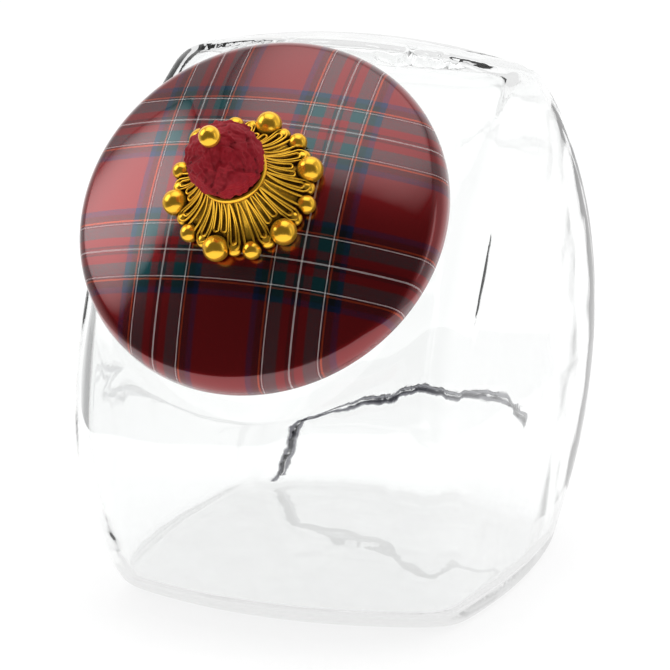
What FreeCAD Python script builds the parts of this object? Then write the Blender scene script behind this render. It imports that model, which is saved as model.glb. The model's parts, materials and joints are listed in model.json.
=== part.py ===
import FreeCAD, Part
import math
import os

# A slant-front glass cookie jar with a domed enamelled steel lid and a cast finial.
# Millimetres. The jar stands on z = 0, the origin is the centre of its base, and the
# slanted mouth faces -Y and up. Everything on the lid is drawn upright about the local
# Z axis, with w = 0 in the plane of the lid's rim, and then laid on the mouth.

# ---- glass body -------------------------------------------------------------------
RIDGE_Z = 231.0          # top of the ridge, at the middle
RIDGE_END_Z = 222.2      # the ridge is crowned, and this is its top at the two ends
BELLY_Z = 89.0           # height of the deepest and widest level, where the mould parts
BASE_HALF_DEPTH = 69.0   # half-depths and half-widths are measured at the corners
BELLY_HALF_DEPTH = 123.5
RIDGE_HALF_DEPTH = 10.5
BASE_HALF_WIDTH = 74.0
BELLY_HALF_WIDTH = 77.0
TOP_HALF_WIDTH = 73.0
LOWER_POWER = 2.1        # how quickly the lower facets swell from base to belly
UPPER_POWER = 2.1        # how roundly the upper facets close on the ridge
CLOSE_POWER = 1.2
WIDTH_POWER = 2.3
SIDE_CROWNS = (6.0, 11.5, 2.6)     # bulge of a side face at the base, belly and ridge
FRONT_CROWNS = (20.0, 13.0, 5.4)   # the same for the front and back faces
CORNER_LENGTH = 11.0     # length of each face that its rounded corner takes up
CORNER_SHARE = 0.6       # and at most this share of the half-depth
HEEL_RADIUS = 4.0
RIDGE_RADIUS = 3.0
WALL = 4.0
BASE_THICKNESS = 8.0
FLOOR_ROUND = 5.0        # rounded edge of the floor inside
LOWER_LEVELS = (HEEL_RADIUS, 14.0, 30.0, 50.0, 70.0, BELLY_Z)
UPPER_LEVELS = (BELLY_Z, 110.0, 132.0, 153.0, 173.0, 190.0, 203.0, 212.0, 218.0, RIDGE_END_Z)
HEEL_LEVELS = (0.0, 0.7, 2.0)
FLOOR_LEVELS = (8.0, 8.9, 10.5)

# ---- mouth ------------------------------------------------------------------------
MOUTH_TILT = 55.5        # degrees between the mouth's plane and the table
MOUTH_Y = -106.8         # centre of the lid's rim plane
MOUTH_Z = 171.5
LIP_TOP = -1.4           # local height of the glass lip under the gasket
LIP_RADIUS = 71.0
LIP_HEIGHT = 5.0
NECK_RADIUS = 69.0
BORE_RADIUS = 63.0
NECK_DEPTH = 8.0
SHOULDER_RADIUS = 77.0
SHOULDER_DEPTH = 38.0
SHOULDER_BORE = 71.0
LIP_ROUND = 1.6

# ---- lid --------------------------------------------------------------------------
LID_RADIUS = 75.6
SHEET = 0.9
DOME_TOP = 27.0
DOME_RADIUS = 160.0
SHOULDER_ROUND = 9.0
CURL_RADIUS = 1.2
CURL_HEIGHT = 0.6
ROD_HOLE = 2.9

# ---- locating ring and gasket -------------------------------------------------------
RING_INNER = 60.4
RING_OUTER = 61.2
RING_TOP = 2.7
RING_BOTTOM = -10.6
RING_BEAD = 0.8
GASKET_GAP = 0.08        # the lid turns in the gasket with this running clearance
GASKET_OUTER = 71.2
GASKET_SKIRT = 62.6
GASKET_BOTTOM = -8.0
GASKET_FACE = -1.0

# ---- finial -----------------------------------------------------------------------
ROD_RADIUS = 2.4
ROD_BOTTOM = 18.5
ROD_TOP = 62.0
THREAD_GAP = 0.1
WASHER_RADIUS = 10.0
WASHER_TOP = 25.7
WASHER_THICKNESS = 1.2
NUT_FLATS = 8.0
NUT_HEIGHT = 4.0
PAD_RADIUS = 12.0
PAD_TOP = 28.0
PAD_DEPTH = 3.0          # depth of the blank that the dome shapes the pad from
PLATE_RADIUS = 21.6      # bottom plate of the flower
PLATE_THICKNESS = 1.6
SKIRT_EDGE_RADIUS = 24.4
SKIRT_EDGE_TOP = 30.8
SKIRT_THROAT_RADIUS = 12.6
SKIRT_THROAT_TOP = 42.8
SKIRT_THICKNESS = 1.3
SKIRT_DIP = 1.6          # how far the flare sags inside a straight cone
BOSS_RADIUS = 6.0
PETALS = 24
PETAL_WIRE = 0.55
PETAL_WIDE = 1.9         # half-width of a loop at its outer and inner ends
PETAL_NARROW = 0.9
PETAL_LIFT = 0.35
PETAL_START = 0.12       # shares of the way down the flare
PETAL_END = 0.9
BEADS = 6
BEAD_CIRCLE = 27.4
LARGE_BEAD = 5.2
SMALL_BEAD = 3.7
BEAD_GAP = 0.05
FIRST_BEAD_ANGLE = 20.3
COLLAR_RADIUS = 13.9
COLLAR_INNER = 3.1
COLLAR_BOTTOM = 42.8
COLLAR_TOP = 45.4
COLLAR_ROUND = 1.2
BUD_BOTTOM = 45.4
BUD_FOOT_RADIUS = 11.8
BUD_RADIUS = 14.8
BUD_WIDEST = 54.2
BUD_SHOULDER_RADIUS = 10.6
BUD_SHOULDER_HEIGHT = 64.6
BUD_TIP_RADIUS = 3.5
BUD_TOP = 71.2
TIP_BALL_RADIUS = 4.2
TIP_BALL_HEIGHT = 74.0
PIN_RADIUS = 1.2
PIN_BOTTOM = 64.8
PIN_TOP = 75.2
DRILL_EXTRA = 0.5        # how far a blind hole runs past what sits in it

NEAR = 0.01              # lengths closer than this count as equal
UP = FreeCAD.Vector(0, 0, 1)
ORIGIN = FreeCAD.Vector(0, 0, 0)


def vec(x, y, z):
    return FreeCAD.Vector(x, y, z)


def share(low, high, value):
    return min(max((value - low) / (high - low), 0.0), 1.0)


def mix(start, end, amount):
    return start + (end - start) * amount


# ---- glass body -------------------------------------------------------------------
def between_levels(values, z):
    """Straight change of a value from base to belly and from belly to ridge."""
    base, belly, ridge = values
    if z < BELLY_Z:
        return mix(base, belly, share(0.0, BELLY_Z, z))
    return mix(belly, ridge, share(BELLY_Z, RIDGE_END_Z, z))


def half_width(z):
    if z < BELLY_Z:
        fall = (1.0 - share(0.0, BELLY_Z, z)) ** WIDTH_POWER
        return mix(BELLY_HALF_WIDTH, BASE_HALF_WIDTH, fall)
    return mix(BELLY_HALF_WIDTH, TOP_HALF_WIDTH, share(BELLY_Z, RIDGE_END_Z, z) ** WIDTH_POWER)


def half_depth(z):
    if z < BELLY_Z:
        fall = (1.0 - share(0.0, BELLY_Z, z)) ** LOWER_POWER
        return mix(BELLY_HALF_DEPTH, BASE_HALF_DEPTH, fall)
    high = share(BELLY_Z, RIDGE_END_Z, z)
    return mix(RIDGE_HALF_DEPTH, BELLY_HALF_DEPTH, (1.0 - high ** UPPER_POWER) ** (1.0 / CLOSE_POWER))


def lean(z):
    """Angle of the front and back facets from upright, above 0 where they lean inwards."""
    step = 0.5
    low, high = max(z - step, 0.0), min(z + step, RIDGE_END_Z)
    return math.atan2(half_depth(low) - half_depth(high), high - low)


class Side:
    """One crowned face of a level section: an arc, trimmed at both ends for the corners."""

    def __init__(self, distance, half_chord, crown, trim, turn):
        radius = (half_chord ** 2 + crown ** 2) / (2.0 * crown)
        self.centre = distance + crown - radius
        self.radius = radius
        self.reach = math.asin(half_chord / radius) - trim / radius
        self.turn = turn

    def point(self, angle):
        """Point on the arc, turned to this side of the section."""
        outward = self.centre + self.radius * math.cos(angle)
        along = self.radius * math.sin(angle)
        cosine, sine = math.cos(self.turn), math.sin(self.turn)
        return outward * cosine - along * sine, outward * sine + along * cosine

    def direction(self, angle):
        heading = self.turn + angle + math.pi / 2.0
        return math.cos(heading), math.sin(heading)


def meeting_point(start, start_way, end, end_way):
    """Where the tangents at the two ends of a corner cross."""
    cross = start_way[0] * end_way[1] - start_way[1] * end_way[0]
    gap = (end[0] - start[0], end[1] - start[1])
    reach = (gap[0] * end_way[1] - gap[1] * end_way[0]) / cross
    return start[0] + start_way[0] * reach, start[1] + start_way[1] * reach


def section_wire(z, level, width, depth):
    """Closed outline at height z: four crowned faces joined by smooth corners.

    The crowns are those of this level of the outer surface.
    """
    side_crown = between_levels(SIDE_CROWNS, level)
    front_crown = between_levels(FRONT_CROWNS, level)
    trim = min(CORNER_LENGTH, depth * CORNER_SHARE)
    quarter = math.pi / 2.0
    sides = [Side(width, depth, side_crown, trim, 0.0),
             Side(depth, width, front_crown, trim, quarter),
             Side(width, depth, side_crown, trim, 2.0 * quarter),
             Side(depth, width, front_crown, trim, 3.0 * quarter)]
    edges = []
    for side, after in zip(sides, sides[1:] + sides[:1]):
        points = [vec(*side.point(angle), z) for angle in (-side.reach, 0.0, side.reach)]
        edges.append(Part.Arc(*points).toShape())
        start, end = side.point(side.reach), after.point(-after.reach)
        corner = meeting_point(start, side.direction(side.reach),
                               end, after.direction(-after.reach))
        bend = Part.BezierCurve()
        bend.setPoles([vec(*start, z), vec(*corner, z), vec(*end, z)])
        edges.append(bend.toShape())
    return Part.Wire(edges)


def rounding_inset(z, floor, radius):
    """How far a rounded bottom edge pulls a section in at height z."""
    rise = radius - (z - floor)
    return radius - math.sqrt(max(radius ** 2 - rise ** 2, 0.0)) if rise > 0.0 else 0.0


def outer_section(z):
    inset = rounding_inset(z, 0.0, HEEL_RADIUS)
    return section_wire(z, z, half_width(z) - inset, half_depth(z) - inset)


def inner_section(z):
    """Section of the hollow at height z, one wall inside the outer surface."""
    low, high = 0.0, RIDGE_END_Z
    for _ in range(30):
        level = (low + high) / 2.0
        if level - WALL * math.sin(lean(level)) < z:
            low = level
        else:
            high = level
    inset = rounding_inset(z, BASE_THICKNESS, FLOOR_ROUND)
    depth = half_depth(level) - WALL * math.cos(lean(level)) - inset
    return section_wire(z, level, half_width(level) - WALL - inset, depth)


def ridge_bar(inset):
    """Low bar along the top, crowned from side to side."""
    bottom = RIDGE_END_Z - 2.0 * WALL
    width = half_width(RIDGE_END_Z) - inset
    outline = section_wire(bottom, RIDGE_END_Z, width, RIDGE_HALF_DEPTH - inset)
    bar = Part.Face(outline).extrude(vec(0, 0, 2.0 * (RIDGE_Z - bottom)))
    drop = RIDGE_Z - RIDGE_END_Z
    radius = (TOP_HALF_WIDTH ** 2 + drop ** 2) / (2.0 * drop)
    middle = RIDGE_Z - radius
    reach = 2.0 * RIDGE_HALF_DEPTH
    under = Part.makeCylinder(radius - inset, 2.0 * reach, vec(0, -reach, middle), vec(0, 1, 0))
    under.rotate(vec(0, 0, middle), vec(0, 1, 0), 180.0)
    bar = bar.common(under)
    top = [face for face in bar.Faces if face.BoundBox.ZMin > bottom + WALL][0]
    return bar.makeFillet(RIDGE_RADIUS, top.Edges)


def outer_body():
    heel = Part.makeLoft([outer_section(z) for z in HEEL_LEVELS + LOWER_LEVELS[:1]], True, False)
    lower = Part.makeLoft([outer_section(z) for z in LOWER_LEVELS], True, False)
    upper = Part.makeLoft([outer_section(z) for z in UPPER_LEVELS], True, False)
    return heel.fuse([lower, upper, ridge_bar(0.0)])


def inner_body():
    start = BASE_THICKNESS + FLOOR_ROUND
    floor = Part.makeLoft([inner_section(z) for z in FLOOR_LEVELS + (start,)], True, False)
    lower = (start,) + LOWER_LEVELS[2:]
    upper = UPPER_LEVELS[:-2] + (RIDGE_END_Z - WALL,)
    sections = [floor, Part.makeLoft([inner_section(z) for z in lower], True, False),
                Part.makeLoft([inner_section(z) for z in upper], True, False)]
    return sections[0].fuse(sections[1:] + [ridge_bar(WALL)])


# ---- helpers for turned parts -------------------------------------------------------
def turned(edges):
    """Solid of revolution about the local Z axis from a closed outline in the XZ plane."""
    face = Part.Face(Part.Wire(Part.__sortEdges__(edges)))
    return face.revolve(ORIGIN, UP, 360)


def polygon_edges(points):
    """Closed straight-sided outline through (radius, height) pairs."""
    corners = [vec(radius, 0, height) for radius, height in points]
    ring = corners[1:] + corners[:1]
    return [Part.makeLine(start, end) for start, end in zip(corners, ring)]


def turned_polygon(points):
    return turned(polygon_edges(points))


def tube(inner, outer, bottom, top):
    return turned_polygon([(inner, bottom), (outer, bottom), (outer, top), (inner, top)])


def arc(start, middle, end):
    """Arc in the XZ plane through three (radius, height) pairs."""
    points = [vec(radius, 0, height) for radius, height in (start, middle, end)]
    return Part.Arc(*points).toShape()


def segment(start, end):
    return Part.makeLine(vec(start[0], 0, start[1]), vec(end[0], 0, end[1]))


def on_mouth(shape):
    """Lays an upright part on the slanted mouth."""
    placed = shape.copy()
    placed.rotate(ORIGIN, vec(1, 0, 0), MOUTH_TILT)
    placed.translate(vec(0, MOUTH_Y, MOUTH_Z))
    return placed


def joined(shapes):
    solid = shapes[0]
    for shape in shapes[1:]:
        solid = solid.fuse(shape)
    return solid.removeSplitter()


def around(shape, count, first_angle):
    """Copies of a shape in a ring about the local Z axis."""
    copies = []
    for step in range(count):
        copy = shape.copy()
        copy.rotate(ORIGIN, UP, first_angle + step * 360.0 / count)
        copies.append(copy)
    return Part.makeCompound(copies)


# ---- jar ---------------------------------------------------------------------------
def neck_outside():
    """Short neck that flares into the body, with a rounded lip."""
    cone = turned_polygon([
        (0.0, LIP_TOP), (NECK_RADIUS, LIP_TOP), (NECK_RADIUS, -NECK_DEPTH),
        (SHOULDER_RADIUS, -SHOULDER_DEPTH), (0.0, -SHOULDER_DEPTH),
    ])
    lip = tube(BORE_RADIUS, LIP_RADIUS, LIP_TOP - LIP_HEIGHT, LIP_TOP)
    outer_edges = [edge for edge in lip.Edges
                   if abs(edge.BoundBox.XMax - LIP_RADIUS) < NEAR
                   and edge.BoundBox.ZLength < NEAR]
    return cone.fuse(lip.makeFillet(LIP_ROUND, outer_edges))


def neck_inside():
    above = LIP_TOP + LIP_HEIGHT
    return turned_polygon([
        (0.0, above), (BORE_RADIUS, above), (BORE_RADIUS, -NECK_DEPTH),
        (SHOULDER_BORE, -SHOULDER_DEPTH), (0.0, -SHOULDER_DEPTH),
    ])


def glass_jar():
    outside_shape = outer_body().fuse(on_mouth(neck_outside()))
    cavity = inner_body().fuse(on_mouth(neck_inside()))
    return outside_shape.cut(cavity)


# ---- lid ----------------------------------------------------------------------------
def lid_skin(offset):
    """Corner points of the lid's section, this far inside the outer surface."""
    dome_centre = DOME_TOP - DOME_RADIUS
    wall = LID_RADIUS
    bend_x = wall - SHOULDER_ROUND
    bend_z = dome_centre + math.sqrt((DOME_RADIUS - SHOULDER_ROUND) ** 2 - bend_x ** 2)
    lean = math.atan2(bend_x, bend_z - dome_centre)
    dome = DOME_RADIUS - offset
    bend = SHOULDER_ROUND - offset
    hole = math.asin(ROD_HOLE / dome)
    middle = (hole + lean) / 2.0
    turn = (lean + math.pi / 2.0) / 2.0
    return {
        "hole": (dome * math.sin(hole), dome_centre + dome * math.cos(hole)),
        "crown": (dome * math.sin(middle), dome_centre + dome * math.cos(middle)),
        "bend_start": (dome * math.sin(lean), dome_centre + dome * math.cos(lean)),
        "bend_middle": (bend_x + bend * math.sin(turn), bend_z + bend * math.cos(turn)),
        "bend_end": (wall - offset, bend_z),
        "rim": (wall - offset, CURL_HEIGHT),
    }


def lid_shell():
    outer = lid_skin(0.0)
    inner = lid_skin(SHEET)
    edges = [
        arc(outer["hole"], outer["crown"], outer["bend_start"]),
        arc(outer["bend_start"], outer["bend_middle"], outer["bend_end"]),
        segment(outer["bend_end"], outer["rim"]),
        segment(outer["rim"], inner["rim"]),
        segment(inner["rim"], inner["bend_end"]),
        arc(inner["bend_end"], inner["bend_middle"], inner["bend_start"]),
        arc(inner["bend_start"], inner["crown"], inner["hole"]),
        segment(inner["hole"], outer["hole"]),
    ]
    curl = Part.makeTorus(LID_RADIUS - CURL_RADIUS, CURL_RADIUS, vec(0, 0, CURL_HEIGHT))
    return turned(edges).fuse(curl)


def locating_ring():
    """Pressed ring: a flange resting on the lid's curl, and a sleeve with a beaded foot."""
    flange_bottom = RING_TOP - SHEET
    flange_radius = LID_RADIUS - SHEET
    foot = RING_BOTTOM + SHEET
    return turned_polygon([
        (RING_INNER, RING_TOP), (flange_radius, RING_TOP), (flange_radius, flange_bottom),
        (RING_OUTER, flange_bottom), (RING_OUTER, foot), (RING_OUTER + RING_BEAD, foot),
        (RING_OUTER + RING_BEAD, RING_BOTTOM), (RING_INNER, RING_BOTTOM),
    ])


def sealing_gasket():
    """Ring of L section round the sleeve: a flat face over the lip and a short skirt."""
    inner = RING_OUTER + GASKET_GAP
    top = RING_TOP - SHEET - GASKET_GAP
    return turned_polygon([
        (inner, top), (GASKET_OUTER, top), (GASKET_OUTER, GASKET_FACE),
        (GASKET_SKIRT, GASKET_FACE), (GASKET_SKIRT, GASKET_BOTTOM), (inner, GASKET_BOTTOM),
    ])


# ---- finial fixings -----------------------------------------------------------------
def tie_rod():
    return Part.makeCylinder(ROD_RADIUS, ROD_TOP - ROD_BOTTOM, vec(0, 0, ROD_BOTTOM))


def backing_washer():
    bottom = WASHER_TOP - WASHER_THICKNESS
    return tube(ROD_RADIUS + THREAD_GAP, WASHER_RADIUS, bottom, WASHER_TOP)


def finial_nut():
    top = WASHER_TOP - WASHER_THICKNESS
    across_corners = NUT_FLATS / math.cos(math.pi / 6.0) / 2.0
    corners = []
    for step in range(7):
        angle = step * math.pi / 3.0
        corner = vec(across_corners * math.cos(angle), across_corners * math.sin(angle), 0)
        corners.append(corner + vec(0, 0, top - NUT_HEIGHT))
    block = Part.Face(Part.makePolygon(corners)).extrude(vec(0, 0, NUT_HEIGHT))
    hole = Part.makeCylinder(ROD_RADIUS + THREAD_GAP, NUT_HEIGHT, vec(0, 0, top - NUT_HEIGHT))
    return block.cut(hole)


def seat_pad():
    """Soft washer whose underside follows the dome."""
    block = tube(ROD_RADIUS + THREAD_GAP, PAD_RADIUS, PAD_TOP - PAD_DEPTH, PAD_TOP)
    dome = Part.makeSphere(DOME_RADIUS, vec(0, 0, DOME_TOP - DOME_RADIUS))
    return block.cut(dome)


# ---- finial -----------------------------------------------------------------------
def flare_point(amount, lift):
    """(radius, height) on the flower's flare, from its throat (0) to its edge (1)."""
    run = SKIRT_EDGE_RADIUS - SKIRT_THROAT_RADIUS
    drop = SKIRT_THROAT_TOP - SKIRT_EDGE_TOP
    length = math.hypot(run, drop)
    sag = lift - SKIRT_DIP * 4.0 * amount * (1.0 - amount)
    radius = SKIRT_THROAT_RADIUS + run * amount + sag * drop / length
    height = SKIRT_THROAT_TOP - drop * amount + sag * run / length
    return radius, height


def flower_skirt():
    """Cast flower: a flared shell with a ring of wire loops, on a plate with a boss.

    Its edge has a shallow seat for each ball.
    """
    plate = tube(ROD_RADIUS + THREAD_GAP, PLATE_RADIUS, PAD_TOP, PAD_TOP + PLATE_THICKNESS)
    boss = tube(ROD_RADIUS + THREAD_GAP, BOSS_RADIUS, PAD_TOP, COLLAR_BOTTOM)
    outer = [flare_point(amount, 0.0) for amount in (0.0, 0.5, 1.0)]
    inner = [flare_point(amount, -SKIRT_THICKNESS) for amount in (0.0, 0.5, 1.0)]
    foot = (PLATE_RADIUS, PAD_TOP)
    edge = (SKIRT_EDGE_RADIUS, PAD_TOP + PLATE_THICKNESS)
    step = (PLATE_RADIUS - SKIRT_THICKNESS, PAD_TOP)
    shell = turned([
        arc(*outer), segment(outer[2], edge), segment(edge, foot), segment(foot, step),
        segment(step, inner[2]), arc(inner[2], inner[1], inner[0]),
        segment(inner[0], outer[0]),
    ])
    cap = tube(ROD_RADIUS + THREAD_GAP, SKIRT_THROAT_RADIUS, COLLAR_BOTTOM - SKIRT_THICKNESS,
               COLLAR_BOTTOM)
    petals = around(petal(), PETALS, FIRST_BEAD_ANGLE + 180.0 / PETALS).Solids
    flower = joined([plate, boss, shell, cap]).fuse(petals)
    return flower.cut(large_beads()).cut(small_beads())


def petal():
    """One closed teardrop loop of wire lying on the flare, along +X."""
    start_r, start_w = flare_point(PETAL_START, PETAL_LIFT)
    end_r, end_w = flare_point(PETAL_END, PETAL_LIFT)
    length = math.hypot(end_r - start_r, end_w - start_w) - PETAL_WIDE
    lean = math.asin((PETAL_WIDE - PETAL_NARROW) / length)
    side = vec(-math.sin(lean), math.cos(lean), 0)
    flip = vec(-math.sin(lean), -math.cos(lean), 0)
    centre = vec(length, 0, 0)
    middle = (side * PETAL_NARROW + centre + side * PETAL_WIDE) * 0.5
    route = Part.Wire([
        Part.makeLine(middle, centre + side * PETAL_WIDE),
        Part.Arc(centre + side * PETAL_WIDE, centre + vec(PETAL_WIDE, 0, 0),
                 centre + flip * PETAL_WIDE).toShape(),
        Part.makeLine(centre + flip * PETAL_WIDE, flip * PETAL_NARROW),
        Part.Arc(flip * PETAL_NARROW, vec(-PETAL_NARROW, 0, 0),
                 side * PETAL_NARROW).toShape(),
        Part.makeLine(side * PETAL_NARROW, middle),
    ])
    profile = Part.Wire([Part.makeCircle(PETAL_WIRE, middle, centre + side * PETAL_WIDE - middle)])
    loop = route.makePipeShell([profile], True, False)
    slope = math.degrees(math.atan2(start_w - end_w, end_r - start_r))
    loop.rotate(ORIGIN, vec(0, 1, 0), slope)
    loop.translate(vec(start_r, 0, start_w))
    return loop


def bead(radius):
    """Ball resting on the dome, along +X."""
    dome_centre = DOME_TOP - DOME_RADIUS
    reach = DOME_RADIUS + radius + BEAD_GAP
    height = dome_centre + math.sqrt(reach ** 2 - BEAD_CIRCLE ** 2)
    return Part.makeSphere(radius, vec(BEAD_CIRCLE, 0, height))


def large_beads():
    return around(bead(LARGE_BEAD), BEADS, FIRST_BEAD_ANGLE)


def small_beads():
    return around(bead(SMALL_BEAD), BEADS, FIRST_BEAD_ANGLE + 180.0 / BEADS)


def bud_collar():
    ring = tube(COLLAR_INNER, COLLAR_RADIUS, COLLAR_BOTTOM, COLLAR_TOP)
    rim = [edge for edge in ring.Edges
           if abs(edge.BoundBox.XMax - COLLAR_RADIUS) < NEAR and edge.BoundBox.ZLength < NEAR]
    return ring.makeFillet(COLLAR_ROUND, rim)


def bud():
    """Acorn-shaped bud with a blind hole for the rod and one for the tip's pin."""
    side = Part.BSplineCurve()
    side.interpolate(Points=[
        vec(BUD_FOOT_RADIUS, 0, BUD_BOTTOM), vec(BUD_RADIUS, 0, BUD_WIDEST),
        vec(BUD_SHOULDER_RADIUS, 0, BUD_SHOULDER_HEIGHT), vec(BUD_TIP_RADIUS, 0, BUD_TOP),
    ])
    body = turned([
        side.toShape(), segment((BUD_TIP_RADIUS, BUD_TOP), (0, BUD_TOP)),
        segment((0, BUD_TOP), (0, BUD_BOTTOM)),
        segment((0, BUD_BOTTOM), (BUD_FOOT_RADIUS, BUD_BOTTOM)),
    ])
    rod_depth = ROD_TOP + DRILL_EXTRA - BUD_BOTTOM
    rod_hole = Part.makeCylinder(ROD_RADIUS + THREAD_GAP, rod_depth, vec(0, 0, BUD_BOTTOM))
    pin_end = PIN_BOTTOM - DRILL_EXTRA
    pin_hole = Part.makeCylinder(PIN_RADIUS + THREAD_GAP, BUD_TOP - pin_end, vec(0, 0, pin_end))
    return body.cut(rod_hole).cut(pin_hole)


def tip_ball():
    ball = Part.makeSphere(TIP_BALL_RADIUS, vec(0, 0, TIP_BALL_HEIGHT))
    side = 2.0 * TIP_BALL_RADIUS
    seat = Part.makeBox(side, side, side, vec(-side / 2.0, -side / 2.0, BUD_TOP - side))
    depth = PIN_TOP + DRILL_EXTRA - BUD_TOP
    hole = Part.makeCylinder(PIN_RADIUS + THREAD_GAP, depth, vec(0, 0, BUD_TOP))
    return ball.cut(seat).cut(hole)


def tip_pin():
    return Part.makeCylinder(PIN_RADIUS, PIN_TOP - PIN_BOTTOM, vec(0, 0, PIN_BOTTOM))


LID_NODES = {
    "lid_shell": lid_shell,
    "locating_ring": locating_ring,
    "sealing_gasket": sealing_gasket,
    "tie_rod": tie_rod,
    "backing_washer": backing_washer,
    "finial_nut": finial_nut,
    "seat_pad": seat_pad,
    "flower_skirt": flower_skirt,
    "large_beads": large_beads,
    "small_beads": small_beads,
    "bud_collar": bud_collar,
    "bud": bud,
    "tip_ball": tip_ball,
    "tip_pin": tip_pin,
}


def main():
    os.makedirs("parts", exist_ok=True)
    shapes = {"glass_jar": glass_jar()}
    for name, build in LID_NODES.items():
        shapes[name] = on_mouth(build())
    for name, shape in shapes.items():
        shape.exportStep("parts/" + name + ".step")
        print(name, "solids", len(shape.Solids), "valid", shape.isValid(),
              "volume", round(shape.Volume))


main()
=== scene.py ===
"""Slant-front glass cookie jar with a domed tartan enamel lid and a gold flower finial.

Shapes are worked out in millimetres and placed in metres. Everything on the lid is drawn
upright about its own Z axis, with w = 0 in the plane of the lid's rim, and then laid on
the slanted mouth, whose place comes from the lid's hinge in the frame.
"""
import json
import math

import bpy
import numpy as np
from mathutils import Matrix, Vector, noise


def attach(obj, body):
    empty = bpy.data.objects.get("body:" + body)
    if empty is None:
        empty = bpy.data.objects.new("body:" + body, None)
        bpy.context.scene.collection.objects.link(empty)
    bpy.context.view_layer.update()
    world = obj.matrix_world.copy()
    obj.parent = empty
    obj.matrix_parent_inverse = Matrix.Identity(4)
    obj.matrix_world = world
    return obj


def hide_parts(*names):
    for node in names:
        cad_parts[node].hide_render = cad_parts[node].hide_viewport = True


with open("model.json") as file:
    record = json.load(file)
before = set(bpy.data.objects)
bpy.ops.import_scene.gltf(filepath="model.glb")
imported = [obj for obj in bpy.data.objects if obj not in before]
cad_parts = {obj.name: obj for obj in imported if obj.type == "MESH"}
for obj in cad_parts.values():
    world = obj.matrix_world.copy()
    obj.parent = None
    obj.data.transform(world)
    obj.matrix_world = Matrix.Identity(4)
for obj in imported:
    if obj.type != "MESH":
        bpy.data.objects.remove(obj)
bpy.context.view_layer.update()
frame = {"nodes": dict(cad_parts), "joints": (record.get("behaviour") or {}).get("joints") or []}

MM = 0.001

# ---- mouth, from the frame --------------------------------------------------------
TURN = [joint for joint in frame["joints"] if joint["name"] == "lid_turn"][0]
MOUTH = Vector(TURN["pos_m"])
MOUTH_AXIS = Vector(TURN["axis"]).normalized()
TILT = math.atan2(-MOUTH_AXIS.y, MOUTH_AXIS.z)
ON_MOUTH = Matrix.Translation(MOUTH) @ Matrix.Rotation(TILT, 4, "X")

# ---- camera -------------------------------------------------------------------------
AZIMUTH = math.radians(19.3)
ELEVATION = math.radians(12.8)
ROLL = math.radians(1.6)
DISTANCE = 1.495
LENS = 188.0
TARGET_RIGHT = -0.0061
TARGET_HEIGHT = 0.1022

# ---- room ---------------------------------------------------------------------------
# brightness of the room by how far a direction points behind the object, -1 to 1
ROOM = ((-0.4, 0.04), (-0.05, 0.45), (0.35, 0.5), (0.7, 1.0))
# the pale floor is a narrow table that widens into a sweep behind the object
TABLE_SIDE = 0.34
TABLE_FRONT = -0.9
TABLE_BACK = 0.35
SWEEP_SIDE = 1.3
SWEEP_START = 1.6
SWEEP_BACK = 7.0
CONTACT_REACH = 0.06
CONTACT_SHADE = 0.2
FLOOR_GLOW = 0.76
# soft lights: name, place, aim, size, strength
CARDS = (
    ("overhead", (0.0, -0.05, 1.9), (0.0, -0.04, 0.0), (2.2, 2.1), 1.5),
    ("left", (-1.45, -0.5, 1.05), (0.0, 0.0, 0.15), (1.3, 1.5), 2.4),
    ("right", (1.6, -0.25, 0.75), (0.0, 0.0, 0.12), (0.3, 1.4), 1.4),
)

# ---- glass body, in millimetres --------------------------------------------------------
RIDGE_Z = 231.0
RIDGE_DROP = 8.8
BELLY_Z = 89.0
BASE_HALF_DEPTH = 69.0
BELLY_HALF_DEPTH = 123.5
RIDGE_HALF_DEPTH = 10.5
BASE_HALF_WIDTH = 74.0
BELLY_HALF_WIDTH = 77.0
TOP_HALF_WIDTH = 73.0
LOWER_POWER = 2.1
UPPER_POWER = 2.1
CLOSE_POWER = 1.2
WIDTH_POWER = 2.3
SIDE_CROWN = (6.0, 11.5, 2.6)
FRONT_CROWN = (20.0, 13.0, 5.4)
CORNER_POWER = 18.0
INNER_CORNER_POWER = 14.0    # pressed glass is thicker in its corners
WALL = 4.0
BASE_THICKNESS = 8.0
RIDGE_ROUND = 5.0
HEEL_ROUND = 6.0
SHOULDER_BLEND = 9.0
LIP_TOP = -1.4
LIP_RADIUS = 71.0
NECK_RADIUS = 69.0
BORE_RADIUS = 63.0
NECK_DEPTH = 8.0
SHOULDER_RADIUS = 77.0
SHOULDER_BORE = 71.0
SHOULDER_DEPTH = 38.0
LIP_BEAD = 2.0
SLOPE_STEP = 0.4
LEAST_SLOPE = 0.002
# the skin is found along rays from a point this far below the mouth
STAR_DEPTH = 125.0
NECK_OVERLAP = 0.5
POLE_GAP = 0.004             # angle left open round the far pole, in radians
SEARCH_NEAREST = 30.0
SEARCH_FROM = 60.0
SEARCH_TO = 190.0
SEARCH_STEP = 4.0
HALVINGS = 12
JAR_AROUND = 360
JAR_ALONG = 230
# the ragged ridge in the back wall, in metres
WAVE_Z = 0.0465
WAVE_LEFT = -0.061
WAVE_RIGHT = 0.045
WAVE_DROP = 0.032
WAVE_FOOT = 0.010
WAVE_BEND = 0.0385
WAVE_CLIMB = 0.15
WAVE_FALL = 0.9
WAVE_BACK = 0.05
WAVE_WIDTH = 0.0013
WAVE_RELIEF = 0.5            # in millimetres
WAVE_SWAY = 0.008
# painted shade: dark see-through tint laid on the glass along the ridge
WAVE_SHADE = (0.22, 0.22, 0.24)
GLASS_TINT = (0.985, 0.992, 0.99)
SHADOW_TINT = (0.93, 0.94, 0.94)
# painted glow: a faint light of the glass's own, in its base and on deep rays low down and high
# up
PAINTED_GLOW_STRENGTH = 0.8
BASE_GLOW_TOP = 0.010
BASE_GLOW_FADE = 0.004
GLOW_MIDDLE = 0.11
GLOW_CLEAR = 0.09            # no glow on deep rays within this of the middle
DEEP_RAY = 5.5

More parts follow.
